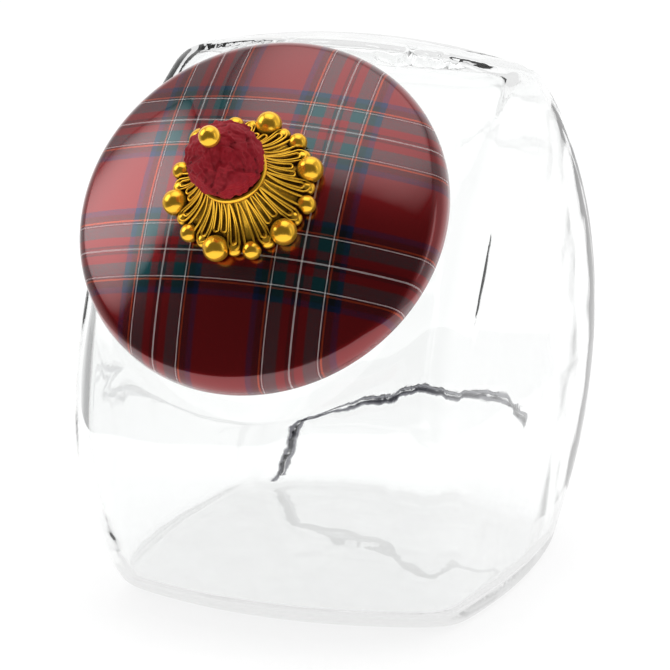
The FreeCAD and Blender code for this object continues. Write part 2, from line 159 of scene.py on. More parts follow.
# ---- lid, in millimetres ---------------------------------------------------------------
LID_RADIUS = 75.6
SHEET = 0.9
DOME_TOP = 27.0
DOME_RADIUS = 160.0
SHOULDER_ROUND = 9.0
CURL_RADIUS = 1.2
CURL_HEIGHT = 0.6
ROD_HOLE = 2.9

# ---- finial, in millimetres ------------------------------------------------------------
SEAT = 28.0
THROAT = (12.6, 42.8)
EDGE = (24.4, 30.8)
FLARE_DIP = 1.6
FIRST_BALL = 20.3
BALLS = 6
BALL_CIRCLE = 27.4
LARGE_BALL = 5.2
SMALL_BALL = 3.7
BALL_GAP = 0.1
LOBE = (25.2, 28.3)
LOBE_SIZE = (3.7, 3.4, 2.6)
LOBE_TURN = 15.0
COLLAR = (13.9, 42.8, 45.4)
BUD_HEIGHTS = (45.4, 54.2, 64.6, 71.2)
BUD_RADII = (11.0, 13.6, 9.7, 3.3)
TIP_BALL = (4.2, 74.0)
# loops of one sector: turn from the large ball, where it ends along the flare, half-width
# at its outer end, half-width at its inner end
LOOPS = (
    (-4.6, 13.8, 1.1, 0.5), (4.4, 13.2, 1.1, 0.5),
    (15.5, 19.6, 2.4, 0.45), (15.5, 17.4, 1.2, 0.2), (-15.5, 19.6, 2.4, 0.45),
    (-15.5, 17.4, 1.2, 0.2), (30.0, 19.0, 1.8, 0.5),
)
LOOP_START = 0.6
LOOP_LIFT = 0.3
WIRE = 0.42


def build_mesh(name, points, faces, material, body, nodes=(), on_mouth=True):
    """Adds one piece from points in millimetres, smooth shaded, riding on a body."""
    mesh = bpy.data.meshes.new(name)
    mesh.from_pydata([tuple(c * MM for c in p) for p in points], [], faces)
    mesh.update()
    mesh.shade_smooth()
    piece = bpy.data.objects.new(name, mesh)
    bpy.context.scene.collection.objects.link(piece)
    mesh.materials.append(material)
    if on_mouth:
        piece.matrix_world = ON_MOUTH
    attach(piece, body)
    if nodes:
        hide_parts(*nodes)
    return piece


def grid_faces(rows, columns, closed_rows=False):
    """Quads of a grid whose columns wrap round, and whose rows do too if asked."""
    faces = []
    for row in range(rows if closed_rows else rows - 1):
        start, above = row * columns, (row + 1) % rows * columns
        for column in range(columns):
            after = (column + 1) % columns
            faces.append((start + column, start + after, above + after, above + column))
    return faces


def turned(profile, around):
    """Points of a closed profile of (radius, height) pairs turned about the Z axis."""
    points = []
    for radius, height in profile:
        for step in range(around):
            angle = 2 * math.pi * step / around
            points.append((radius * math.cos(angle), radius * math.sin(angle), height))
    return points


# ---- glass jar ------------------------------------------------------------------------
def smooth_max(a, b, width):
    """The larger of two fields, blended over this width."""
    return np.maximum(a, b) + np.maximum(width - np.abs(a - b), 0.0) ** 2 / (4 * width)


def smooth_min(a, b, width):
    """The smaller of two fields, blended over this width."""
    return -smooth_max(-a, -b, width)


def skin_ratio(x, y, z, power):
    """1 on the body's upright faces, below 1 inside them and above 1 outside."""
    ridge_end = RIDGE_Z - RIDGE_DROP
    low = np.clip(z / BELLY_Z, 0.0, 1.0)
    high = np.clip((z - BELLY_Z) / (ridge_end - BELLY_Z), 0.0, 1.0)
    swell = BASE_HALF_DEPTH - BELLY_HALF_DEPTH
    lower = BELLY_HALF_DEPTH + swell * (1.0 - low) ** LOWER_POWER
    close = (1.0 - high ** UPPER_POWER) ** (1.0 / CLOSE_POWER)
    upper = RIDGE_HALF_DEPTH + (BELLY_HALF_DEPTH - RIDGE_HALF_DEPTH) * close
    depth = np.where(z < BELLY_Z, lower, upper)
    lower = BELLY_HALF_WIDTH + (BASE_HALF_WIDTH - BELLY_HALF_WIDTH) * (1.0 - low) ** WIDTH_POWER
    upper = BELLY_HALF_WIDTH + (TOP_HALF_WIDTH - BELLY_HALF_WIDTH) * high ** WIDTH_POWER
    width = np.where(z < BELLY_Z, lower, upper)
    levels = (0.0, BELLY_Z, ridge_end)
    side = np.interp(z, levels, SIDE_CROWN)
    front = np.interp(z, levels, FRONT_CROWN)
    reach_x = width + side * (1.0 - np.minimum(np.abs(y) / depth, 1.0) ** 2)
    reach_y = depth + front * (1.0 - np.minimum(np.abs(x) / width, 1.0) ** 2)
    ratio = (np.abs(x) / reach_x) ** power + (np.abs(y) / reach_y) ** power
    return ratio ** (1.0 / power)


def body_field(x, y, z, inset, floor):
    """Distance outside the body, shrunk by inset, in millimetres near its skin."""
    step = SLOPE_STEP
    power = INNER_CORNER_POWER if inset else CORNER_POWER
    ratio = skin_ratio(x, y, z, power)
    slope = np.sqrt((skin_ratio(x + step, y, z, power) - ratio) ** 2
                    + (skin_ratio(x, y + step, z, power) - ratio) ** 2
                    + (skin_ratio(x, y, z + step, power) - ratio) ** 2) / step
    walls = (ratio - 1.0) / np.maximum(slope, LEAST_SLOPE) + inset
    top = z + inset - RIDGE_Z + RIDGE_DROP * (x / TOP_HALF_WIDTH) ** 2
    closed = smooth_max(walls, top, RIDGE_ROUND)
    return smooth_max(closed, floor - z, HEEL_ROUND)


def shoulder_field(radius, height, neck, flare):
    """Below 0 inside the cone that joins the neck to the body."""
    share = np.clip((-NECK_DEPTH - height) / (SHOULDER_DEPTH - NECK_DEPTH), 0.0, 1.2)
    walls = radius - (neck + (flare - neck) * share)
    return np.maximum(walls, -SHOULDER_DEPTH - height)


def jar_field(points, inset, floor, neck, flare):
    """Below 0 inside the body joined to its shoulder."""
    local = np.array(ON_MOUTH.inverted())
    metres = np.concatenate([points * MM, np.ones(points.shape[:-1] + (1,))], axis=-1)
    on_lid = metres @ local.T / MM
    radius = np.hypot(on_lid[..., 0], on_lid[..., 1])
    cone = shoulder_field(radius, on_lid[..., 2], neck, flare)
    body = body_field(points[..., 0], points[..., 1], points[..., 2], inset, floor)
    return smooth_min(body, cone, SHOULDER_BLEND)


def jar_shell(inset, floor, neck, flare):
    """Rings of points on the jar's skin, from the neck round to the far side.

    The inner skin, which has an inset, also carries the ridge of the back wall.
    """
    centre = np.array(MOUTH - MOUTH_AXIS * STAR_DEPTH * MM) / MM
    basis = np.array(ON_MOUTH.to_3x3())
    first = math.atan2(neck, STAR_DEPTH - NECK_DEPTH - NECK_OVERLAP)
    polar = np.linspace(first, math.pi - POLE_GAP, JAR_ALONG)[:, None]
    turn = np.linspace(0.0, 2 * math.pi, JAR_AROUND, endpoint=False)[None, :]
    ones = np.ones_like(turn)
    local = np.stack([np.sin(polar) * np.cos(turn), np.sin(polar) * np.sin(turn),
                      np.cos(polar) * ones], axis=-1)
    rays = local @ basis.T
    reach = np.full(rays.shape[:2], SEARCH_NEAREST)
    for distance in np.arange(SEARCH_FROM, SEARCH_TO, SEARCH_STEP):
        field = jar_field(centre + rays * distance, inset, floor, neck, flare)
        reach = np.where(field < 0.0, distance, reach)
    near, far = reach, reach + SEARCH_STEP
    for _ in range(HALVINGS):
        middle = (near + far) / 2.0
        field = jar_field(centre + rays * middle[..., None], inset, floor, neck, flare)
        near = np.where(field < 0.0, middle, near)
        far = np.where(field < 0.0, far, middle)
    if inset:
        near = near - WAVE_RELIEF * ripple(centre + rays * near[..., None])
    return centre + rays * near[..., None]


def ripple(points):
    """Height, 0 to 1, of the ridge that wanders across the back wall."""
    x, y, z = (points[..., axis] * MM for axis in range(3))
    line = WAVE_Z + WAVE_CLIMB * x - WAVE_FALL * np.maximum(x - WAVE_DROP, 0.0)
    level = 1.0 / (1.0 + ((z - line) / WAVE_WIDTH) ** 2)
    level = level * (x > WAVE_LEFT) * (x < WAVE_RIGHT)
    upright = 1.0 / (1.0 + ((x - WAVE_LEFT) / WAVE_WIDTH) ** 2)
    upright = upright * (z > WAVE_FOOT) * (z < WAVE_BEND)
    return np.maximum(level, upright) * (y > WAVE_BACK)


def lip_rings():
    """Rings of the lip, from the inside of the bore over the top to the neck."""
    outer = LIP_RADIUS - LIP_BEAD
    profile = [(BORE_RADIUS, -NECK_DEPTH), (BORE_RADIUS, LIP_TOP - 1.2)]
    profile += [(BORE_RADIUS + 0.4, LIP_TOP - 0.3), (BORE_RADIUS + 1.2, LIP_TOP)]
    for step in range(9):
        angle = math.pi / 2 - math.pi * step / 8
        profile.append((outer + LIP_BEAD * math.cos(angle),
                        LIP_TOP - LIP_BEAD + LIP_BEAD * math.sin(angle)))
    profile += [(NECK_RADIUS, LIP_TOP - 4.4), (NECK_RADIUS, -NECK_DEPTH)]
    points = np.array(turned(profile, JAR_AROUND)).reshape(len(profile), JAR_AROUND, 3)
    basis = np.array(ON_MOUTH.to_3x3())
    return np.array(MOUTH) / MM + points @ basis.T


def glass_jar(material):
    """Jar in one closed skin: the inside, the lip and the outside."""
    outer = jar_shell(0.0, 0.0, NECK_RADIUS, SHOULDER_RADIUS)
    inner = jar_shell(WALL, BASE_THICKNESS, BORE_RADIUS, SHOULDER_BORE)
    rings = np.concatenate([inner[::-1], lip_rings(), outer])
    rows = rings.shape[0]
    faces = [face[::-1] for face in grid_faces(rows, JAR_AROUND)]
    faces.append(tuple(range(JAR_AROUND)))
    faces.append(tuple(reversed(range((rows - 1) * JAR_AROUND, rows * JAR_AROUND))))
    return build_mesh("glass_body", rings.reshape(-1, 3), faces, material, "jar",
                      ("glass_jar",), on_mouth=False)


# ---- materials ------------------------------------------------------------------------
class Nodes:
    """Small helper for building one material's node tree."""

    def __init__(self, name):
        self.material = bpy.data.materials.new(name)
        self.material.use_nodes = True
        self.tree = self.material.node_tree
        self.tree.nodes.clear()
        self.output = self.add("ShaderNodeOutputMaterial")

    def add(self, kind, **settings):
        node = self.tree.nodes.new(kind)
        for name, value in settings.items():
            setattr(node, name, value)
        return node

    def link(self, source, target):
        if isinstance(source, (int, float)):
            target.default_value = source
        else:
            self.tree.links.new(source, target)

    def math(self, operation, first, second=0.0, third=0.0):
        node = self.add("ShaderNodeMath", operation=operation)
        for socket, value in zip(node.inputs, (first, second, third)):
            self.link(value, socket)
        return node.outputs[0]

    def mix(self, factor, first, second):
        node = self.add("ShaderNodeMix", data_type="RGBA")
        self.link(factor, node.inputs[0])
        for socket, value in ((node.inputs[6], first), (node.inputs[7], second)):
            if isinstance(value, tuple):
                socket.default_value = value + (1.0,)
            else:
                self.link(value, socket)
        return node.outputs[2]

    def noise(self, coordinates, scale, detail=2.0):
        node = self.add("ShaderNodeTexNoise")
        node.inputs["Scale"].default_value = scale
        node.inputs["Detail"].default_value = detail
        self.link(coordinates, node.inputs["Vector"])
        return node.outputs["Fac"]

    def ramp(self, value, stops, smooth=False):
        node = self.add("ShaderNodeValToRGB")
        node.color_ramp.interpolation = "LINEAR" if smooth else "CONSTANT"
        while len(node.color_ramp.elements) < len(stops):
            node.color_ramp.elements.new(1.0)
        for element, (place, colour) in zip(node.color_ramp.elements, stops):
            element.position = place
            element.color = colour + (1.0,)
        self.link(value, node.inputs[0])
        return node.outputs[0]

    def bump(self, height, strength, distance):
        node = self.add("ShaderNodeBump")
        node.inputs["Strength"].default_value = strength
        node.inputs["Distance"].default_value = distance
        self.link(height, node.inputs["Height"])
        return node.outputs["Normal"]

    def coordinates(self):
        return self.add("ShaderNodeTexCoord").outputs["Object"]

    def principled(self, **values):
        shader = self.add("ShaderNodeBsdfPrincipled")
        for name, value in values.items():
            socket = shader.inputs[name.replace("_", " ")]
            socket.default_value = value + (1.0,) if isinstance(value, tuple) else value
        self.link(shader.outputs[0], self.output.inputs["Surface"])
        return shader


def fold(nodes, away, rough):
    """Height of a ragged ridge, by the distance away from its middle."""
    shift = nodes.math("MULTIPLY_ADD", rough, WAVE_SWAY, -WAVE_SWAY / 2)
    reach = nodes.math("DIVIDE", nodes.math("ADD", away, shift), WAVE_WIDTH)
    return nodes.math("DIVIDE", 1.0, nodes.math("MULTIPLY_ADD", reach, reach, 1.0))


def within(nodes, value, place, low, high):
    """The value where the place lies between low and high, and 0 elsewhere."""
    above = nodes.math("MULTIPLY", value, nodes.math("GREATER_THAN", place, low))
    return nodes.math("MULTIPLY", above, nodes.math("LESS_THAN", place, high))


def glass_material():
    """Clear glass with painted shade along a ragged ridge, and a painted glow in its base and on
    deep rays low down and high up.
    """
    nodes = Nodes("clear_glass")
    place = nodes.coordinates()
    shader = nodes.principled(Base_Color=GLASS_TINT, Roughness=0.0, IOR=1.5,
                              Transmission_Weight=1.0)
    wave = nodes.noise(place, 26.0, 1.0)
    split = nodes.add("ShaderNodeSeparateXYZ")
    nodes.link(place, split.inputs[0])
    x, y, z = split.outputs
    rough = nodes.noise(place, 75.0, 3.0)
    line = nodes.math("MULTIPLY_ADD", x, WAVE_CLIMB, WAVE_Z)
    drop = nodes.math("MAXIMUM", nodes.math("SUBTRACT", x, WAVE_DROP), 0.0)
    line = nodes.math("MULTIPLY_ADD", drop, -WAVE_FALL, line)
    level = fold(nodes, nodes.math("SUBTRACT", z, line), rough)
    level = within(nodes, level, x, WAVE_LEFT, WAVE_RIGHT)
    upright = fold(nodes, nodes.math("SUBTRACT", x, WAVE_LEFT), rough)
    upright = within(nodes, upright, z, WAVE_FOOT, WAVE_BEND)
    ridge = nodes.math("MAXIMUM", level, upright)
    ridge = nodes.math("MULTIPLY", ridge, nodes.math("GREATER_THAN", y, WAVE_BACK))
    height = nodes.math("ADD", ridge, nodes.math("MULTIPLY", wave, 0.25))
    nodes.link(nodes.bump(height, 1.0, 0.002), shader.inputs["Normal"])
    # painted shade: a dark see-through tint along the ridge line stands in for the dark that the
    # glass ridge makes by refraction
    painted_ridge_shade = nodes.add("ShaderNodeBsdfTransparent")
    painted_ridge_shade.inputs[0].default_value = WAVE_SHADE + (1.0,)
    ridge_shaded_glass = nodes.add("ShaderNodeMixShader")
    nodes.link(nodes.math("MULTIPLY", nodes.math("SUBTRACT", ridge, 0.42), 2.4), ridge_shaded_glass.inputs[0])
    nodes.link(shader.outputs[0], ridge_shaded_glass.inputs[1])
    nodes.link(painted_ridge_shade.outputs[0], ridge_shaded_glass.inputs[2])
    clear = nodes.add("ShaderNodeBsdfTransparent")
    clear.inputs[0].default_value = SHADOW_TINT + (1.0,)
    either = nodes.add("ShaderNodeMixShader")
    nodes.link(nodes.add("ShaderNodeLightPath").outputs["Is Shadow Ray"], either.inputs[0])
    nodes.link(ridge_shaded_glass.outputs[0], either.inputs[1])
    nodes.link(clear.outputs[0], either.inputs[2])
    # painted glow: the glass gives off a faint light of its own in its base and on deep rays away
    # from the middle, so these look pale
    painted_glow = nodes.add("ShaderNodeEmission")
    painted_glow.inputs["Strength"].default_value = PAINTED_GLOW_STRENGTH
    deep = nodes.add("ShaderNodeMixShader")
    depth = nodes.add("ShaderNodeLightPath").outputs["Ray Depth"]
    painted_base_glow = nodes.math("DIVIDE", nodes.math("SUBTRACT", BASE_GLOW_TOP, z), BASE_GLOW_FADE)
    painted_base_glow = nodes.math("MULTIPLY", nodes.math("MINIMUM", nodes.math("MAXIMUM", painted_base_glow, 0.0), 1.0),
                      nodes.math("MULTIPLY", rough, 0.9))
    away = nodes.math("ABSOLUTE", nodes.math("SUBTRACT", z, GLOW_MIDDLE))
    outer = nodes.math("GREATER_THAN", away, GLOW_CLEAR)
    deep_ray_glow = nodes.math("MULTIPLY", nodes.math("GREATER_THAN", depth, DEEP_RAY), outer)
    nodes.link(nodes.math("MAXIMUM", painted_base_glow, deep_ray_glow), deep.inputs[0])
    nodes.link(either.outputs[0], deep.inputs[1])
    nodes.link(painted_glow.outputs[0], deep.inputs[2])
    nodes.link(deep.outputs[0], nodes.output.inputs["Surface"])
    return nodes.material


# the tartan, in millimetres from the middle white line of a group to the middle of a field
SETT_REPEAT = 56.6
SETT_TURN = math.radians(0.45)
SETT_ACROSS = 28.0
SETT_ALONG = 30.7
SETT_REACH = 56.0            # only plain field runs out to the rim beyond this
TWILL = 0.62
INK_METALLIC = 0.65
RED = (0.27, 0.004, 0.007)
DEEP_RED = (0.12, 0.002, 0.005)
BLACK = (0.006, 0.006, 0.010)
GREEN = (0.004, 0.075, 0.085)
NAVY = (0.010, 0.018, 0.085)
GOLD_THREAD = (0.62, 0.10, 0.02)
WHITE = (0.80, 0.78, 0.78)
SETT = (
    (0.0, WHITE), (0.28, DEEP_RED), (0.9, BLACK), (1.7, RED), (5.0, GREEN), (9.8, BLACK),
    (10.27, WHITE), (10.71, BLACK), (11.3, GOLD_THREAD), (12.0, BLACK), (14.6, NAVY), (17.0, RED),
)


def sett_colour(nodes, place, offset):
    """Colour of the threads that run at this place across the cloth."""
    moved = nodes.math("ADD", place, (SETT_REPEAT / 2 - offset) * MM)
    wrapped = nodes.math("FLOORED_MODULO", moved, SETT_REPEAT * MM)
    centred = nodes.math("SUBTRACT", wrapped, SETT_REPEAT / 2 * MM)
    span = SETT_REPEAT / 2
    reach = nodes.math("DIVIDE", nodes.math("ABSOLUTE", centred), span * MM)
    return nodes.ramp(reach, [(stop / span, colour) for stop, colour in SETT])


def held(nodes, value, limit):
    """The value kept between minus and plus this limit."""
    return nodes.math("MAXIMUM", nodes.math("MINIMUM", value, limit), -limit)


def tartan_material():
    """Tartan printed under clear gloss enamel."""
    nodes = Nodes("tartan_enamel")
    place = nodes.coordinates()
    rotate = nodes.add("ShaderNodeVectorRotate", rotation_type="Z_AXIS")
    rotate.inputs["Angle"].default_value = -SETT_TURN
    nodes.link(place, rotate.inputs["Vector"])
    split = nodes.add("ShaderNodeSeparateXYZ")
    nodes.link(rotate.outputs[0], split.inputs[0])
    across, along = (held(nodes, side, SETT_REACH * MM) for side in split.outputs[:2])
    warp = sett_colour(nodes, across, SETT_ACROSS)
    weft = sett_colour(nodes, along, SETT_ALONG)
    diagonal = nodes.math("ADD", split.outputs[0], split.outputs[1])
    diagonal = nodes.math("DIVIDE", diagonal, TWILL * MM)
    over = nodes.math("GREATER_THAN", nodes.math("FRACT", diagonal), 0.5)
    woven = nodes.mix(over, warp, weft)
    shader = nodes.principled(Roughness=0.27, Specular_IOR_Level=0.35, Coat_Weight=1.0,
                              Coat_Roughness=0.03, Coat_IOR=1.6)
    nodes.link(woven, shader.inputs["Base Color"])
    channels = nodes.add("ShaderNodeSeparateColor")
    nodes.link(woven, channels.inputs[0])
    thin_ink = nodes.math("LESS_THAN", channels.outputs[1], 0.2)
    nodes.link(nodes.math("MULTIPLY", thin_ink, INK_METALLIC), shader.inputs["Metallic"])
    swirl = nodes.noise(place, 90.0, 1.0)
    nodes.link(nodes.bump(swirl, 0.06, 0.001), shader.inputs["Coat Normal"])
    return nodes.material


GOLD = (1.0, 0.56, 0.05)
GOLD_HOLLOW_SHADE = (0.04, 0.010, 0.002)
# painted glow: the gold gives off a faint light of its own, in its own tone
GOLD_GLOW = 0.12
LACQUER = (0.44, 0.010, 0.024)
LACQUER_GROOVE_SHADE = (0.025, 0.001, 0.002)
GRAIN = 400.0


def gold_material():
    """Gold, bright on what stands out, with painted shade turning it brown in the hollows and a
    faint painted glow of its own.
    """
    nodes = Nodes("antique_gold")
    place = nodes.coordinates()
    shader = nodes.principled(Metallic=1.0, Roughness=0.24, Emission_Strength=GOLD_GLOW)
    # painted shade: ambient occlusion darkens the gold to dark brown in hollows and between the
    # loops, with random tone from noise
    hollow_shade = nodes.add("ShaderNodeAmbientOcclusion", samples=8, only_local=False)
    hollow_shade.inputs["Distance"].default_value = 0.0025
    cloud = nodes.noise(place, 300.0, 3.0)
    open_air = nodes.math("SUBTRACT", hollow_shade.outputs["AO"], 0.12)
    shade_and_tone = nodes.math("MULTIPLY_ADD", cloud, 0.25, open_air)
    tone = nodes.ramp(shade_and_tone, [(0.52, GOLD_HOLLOW_SHADE), (0.88, GOLD)], smooth=True)
    nodes.link(tone, shader.inputs["Base Color"])
    nodes.link(tone, shader.inputs["Emission Color"])
    nodes.link(nodes.bump(nodes.noise(place, 900.0), 0.05, 0.0004), shader.inputs["Normal"])
    return nodes.material


def lacquer_material():
    """Satin red lacquer over the carved bud, with painted shade darkening its grooves."""
    nodes = Nodes("red_lacquer")
    place = nodes.coordinates()
    shader = nodes.principled(Roughness=0.62, Specular_IOR_Level=0.25)
    # painted shade: ambient occlusion darkens the lacquer in the bud's grooves, with random tone
    # from noise
    depth = nodes.add("ShaderNodeAmbientOcclusion", samples=8)
    depth.inputs["Distance"].default_value = 0.004
    cloud = nodes.noise(place, 220.0, 3.0)
    open_air = nodes.math("SUBTRACT", depth.outputs["AO"], 0.15)
    shade_and_tone = nodes.math("MULTIPLY_ADD", cloud, 0.3, open_air)
    tone = nodes.ramp(shade_and_tone, [(0.3, LACQUER_GROOVE_SHADE), (0.92, LACQUER)], smooth=True)
    nodes.link(tone, shader.inputs["Base Color"])
    nodes.link(nodes.bump(nodes.noise(place, 1500.0), 0.12, 0.0003), shader.inputs["Normal"])
    return nodes.material


def plain_material(name, colour, roughness, metallic=0.0, **values):
    """A plain finish with a fine grain and a little variation in tone."""
    nodes = Nodes(name)
    place = nodes.coordinates()
    shader = nodes.principled(Metallic=metallic, **values)
    cloud = nodes.noise(place, GRAIN, 3.0)
    darker = tuple(channel * 0.75 for channel in colour)
    nodes.link(nodes.mix(cloud, darker, colour), shader.inputs["Base Color"])
    gloss = nodes.math("MULTIPLY_ADD", cloud, 0.15, roughness - 0.07)
    nodes.link(gloss, shader.inputs["Roughness"])
    nodes.link(nodes.bump(cloud, 0.08, 0.0003), shader.inputs["Normal"])
    return nodes.material


# ---- lid --------------------------------------------------------------------------------
def lid_profile(offset, steps):
    """The lid's section, this far inside its outer surface, from the middle to the rim."""
    dome_centre = DOME_TOP - DOME_RADIUS
    bend_x = LID_RADIUS - SHOULDER_ROUND
    bend_z = dome_centre + math.sqrt((DOME_RADIUS - SHOULDER_ROUND) ** 2 - bend_x ** 2)
    lean = math.atan2(bend_x, bend_z - dome_centre)
    dome = DOME_RADIUS - offset
    bend = SHOULDER_ROUND - offset
    hole = math.asin(ROD_HOLE / dome)
    profile = []
    for step in range(steps):
        angle = hole + (lean - hole) * step / steps
        profile.append((dome * math.sin(angle), dome_centre + dome * math.cos(angle)))
    for step in range(steps + 1):
        angle = lean + (math.pi / 2 - lean) * step / steps
        profile.append((bend_x + bend * math.sin(angle), bend_z + bend * math.cos(angle)))
    profile.append((LID_RADIUS - offset, bend_z / 2 + CURL_HEIGHT / 2))
    return profile


def lid_shell(material):
    """Domed sheet with its edge rolled into a small curl."""
    curl = []
    centre = LID_RADIUS - CURL_RADIUS
    for step in range(13):
        angle = -math.pi * 1.35 * step / 12
        curl.append((centre + CURL_RADIUS * math.cos(angle),
                     CURL_HEIGHT + CURL_RADIUS * math.sin(angle)))
    profile = lid_profile(0.0, 24) + curl + lid_profile(SHEET, 24)[::-1]
    around = 256
    points = turned(profile, around)
    faces = [face[::-1] for face in grid_faces(len(profile), around, closed_rows=True)]
    return build_mesh("enamel_lid", points, faces, material, "lid", ("lid_shell",))


# ---- finial -----------------------------------------------------------------------------
class Shape:
    """Points and faces of one piece, gathered from several parts."""

    def __init__(self):
        self.points = []
        self.faces = []

    def add(self, points, faces):
        first = len(self.points)
        self.points.extend(tuple(point) for point in points)
        self.faces.extend(tuple(first + index for index in face) for face in faces)

    def ring(self, profile, around):
        faces = [face[::-1] for face in grid_faces(len(profile), around, closed_rows=True)]
        self.add(turned(profile, around), faces)

    def ball(self, centre, size, turn=0.0):
        """Ellipsoid with a slightly uneven cast skin, its first axis pointing outwards."""
        rows, around = 25, 40
        cosine, sine = math.cos(turn), math.sin(turn)
        points = []
        for row in range(rows):
            polar = math.pi * (row + 0.02) / (rows - 0.96)
            for step in range(around):
                angle = 2 * math.pi * step / around
                way = (math.sin(polar) * math.cos(angle), math.sin(polar) * math.sin(angle),
                       math.cos(polar))
                uneven = 1.0 + 0.012 * noise.noise(Vector(way) * 2.0 + Vector(centre))
                out, side, up = (way[axis] * size[axis] * uneven for axis in range(3))
                points.append((centre[0] + out * cosine - side * sine,
                               centre[1] + out * sine + side * cosine, centre[2] + up))
        faces = [face[::-1] for face in grid_faces(rows, around)]
        faces.append(tuple(range(around)))
        faces.append(tuple(reversed(range((rows - 1) * around, rows * around))))
        self.add(points, faces)


def flare_place(along, lift):
    """(radius, height) of a place this far down the flare and this far off its surface."""
    run, drop = EDGE[0] - THROAT[0], THROAT[1] - EDGE[1]
    length = math.hypot(run, drop)
    amount = along / length
    sag = lift - FLARE_DIP * 4.0 * amount * (1.0 - amount)
    radius = THROAT[0] + run * amount + sag * drop / length
    height = THROAT[1] - drop * amount + sag * run / length
    return radius, height


def loop_outline(end, wide, narrow):
    """Teardrop between a small circle at the throat and a larger one at its end."""
    length = end - wide - LOOP_START - narrow
    first = LOOP_START + narrow
    lean = math.asin((wide - narrow) / length)
    outline = []
    for step in range(14):
        amount = step / 13
        width = (narrow + (wide - narrow) * amount) * math.cos(lean)
        outline.append((first + length * amount, width + 0.2 * math.sin(math.pi * amount)))
    for step in range(1, 14):
        angle = math.pi / 2 + lean - (math.pi + 2 * lean) * step / 14
        outline.append((first + length + wide * math.cos(angle), wide * math.sin(angle)))
    for step in range(14):
        amount = 1 - step / 13
        width = (narrow + (wide - narrow) * amount) * math.cos(lean)
        outline.append((first + length * amount, -width - 0.2 * math.sin(math.pi * amount)))
    for step in range(1, 6):
        angle = -math.pi / 2 + lean - (math.pi - 2 * lean) * step / 6
        outline.append((first + narrow * math.cos(angle), narrow * math.sin(angle)))
    return outline


def add_loop(shape, turn, end, wide, narrow):
    """One closed loop of wire lying on the flare."""
    outline = loop_outline(end, wide, narrow)
    places, normals, thickness = [], [], []
    for along, across in outline:
        radius, height = flare_place(along, LOOP_LIFT)
        above, over = flare_place(along, LOOP_LIFT + 1.0)
        angle = turn + across / radius
        places.append(Vector((radius * math.cos(angle), radius * math.sin(angle), height)))
        out, up = above - radius, over - height
        normals.append(Vector((out * math.cos(angle), out * math.sin(angle), up)).normalized())
        thickness.append(WIRE * (0.72 + 0.42 * min(along / 16.0, 1.0)))
    sides = 10
    points = []
    count = len(places)
    for index in range(count):
        way = (places[(index + 1) % count] - places[index - 1]).normalized()
        side = way.cross(normals[index]).normalized()
        out = side.cross(way)
        for step in range(sides):
            angle = 2 * math.pi * step / sides
            reach = out * math.cos(angle) * 1.25 + side * math.sin(angle)
            points.append(places[index] + reach * thickness[index])
    shape.add(points, [face[::-1] for face in grid_faces(count, sides, closed_rows=True)])


def cast_flower(material):
    """Flared shell with its ring of wire loops, and the lobes under the widest loops."""
    shape = Shape()
    profile = [(ROD_HOLE, THROAT[1])]
    profile += [flare_place(step * 1.2, -1.3) for step in range(15)]
    profile += [(EDGE[0] - 0.4, EDGE[1] - 1.2), (EDGE[0] - 2.8, SEAT), (ROD_HOLE, SEAT)]
    shape.ring(profile[::-1], 180)
    for sector in range(BALLS):
        middle = math.radians(FIRST_BALL + sector * 360.0 / BALLS)
        for turn, end, wide, narrow in LOOPS:
            add_loop(shape, middle + math.radians(turn), end, wide, narrow)
        for turn in (-LOBE_TURN, LOBE_TURN):
            angle = middle + math.radians(turn)
            centre = (LOBE[0] * math.cos(angle), LOBE[0] * math.sin(angle), LOBE[1])
            shape.ball(centre, LOBE_SIZE, angle)
    return build_mesh("cast_flower", shape.points, shape.faces, material, "lid",
                      ("flower_skirt",))


def balls(name, size, first, replaced, material):
    """Ring of balls resting on the dome."""
    shape = Shape()
    reach = DOME_RADIUS + size + BALL_GAP
    height = DOME_TOP - DOME_RADIUS + math.sqrt(reach ** 2 - BALL_CIRCLE ** 2)
    for step in range(BALLS):
        angle = math.radians(first + step * 360.0 / BALLS)
        centre = (BALL_CIRCLE * math.cos(angle), BALL_CIRCLE * math.sin(angle), height)
        shape.ball(centre, (size, size, size), angle)
    return build_mesh(name, shape.points, shape.faces, material, "lid",
                      (replaced,))


def collar_ring(material):
    """Plain ring with a half-round edge, between the flower and the bud."""
    radius, bottom, top = COLLAR
    half = (top - bottom) / 2.0
    profile = [(ROD_HOLE, top), (ROD_HOLE, bottom)]
    for step in range(13):
        angle = -math.pi / 2 + math.pi * step / 12
        profile.append((radius - half + half * math.cos(angle),
                        bottom + half + half * math.sin(angle)))
    shape = Shape()
    shape.ring(profile, 160)
    return build_mesh("collar_ring", shape.points, shape.faces, material, "lid",
                      ("bud_collar",))


def tip_knob(material):
    """Ball on the tip of the bud."""
    radius, height = TIP_BALL
    shape = Shape()
    shape.ball((0.0, 0.0, height), (radius, radius, radius))
    return build_mesh("tip_knob", shape.points, shape.faces, material, "lid",
                      ("tip_ball",))


# petals of the bud, by tier: how many, turn, height of their tips, half-width in degrees
PETAL_TIERS = ((5, 10.0, 62.5, 44.0), (6, 40.0, 67.0, 38.0), (5, 15.0, 70.5, 42.0))
PETAL_THICKNESS = 1.4


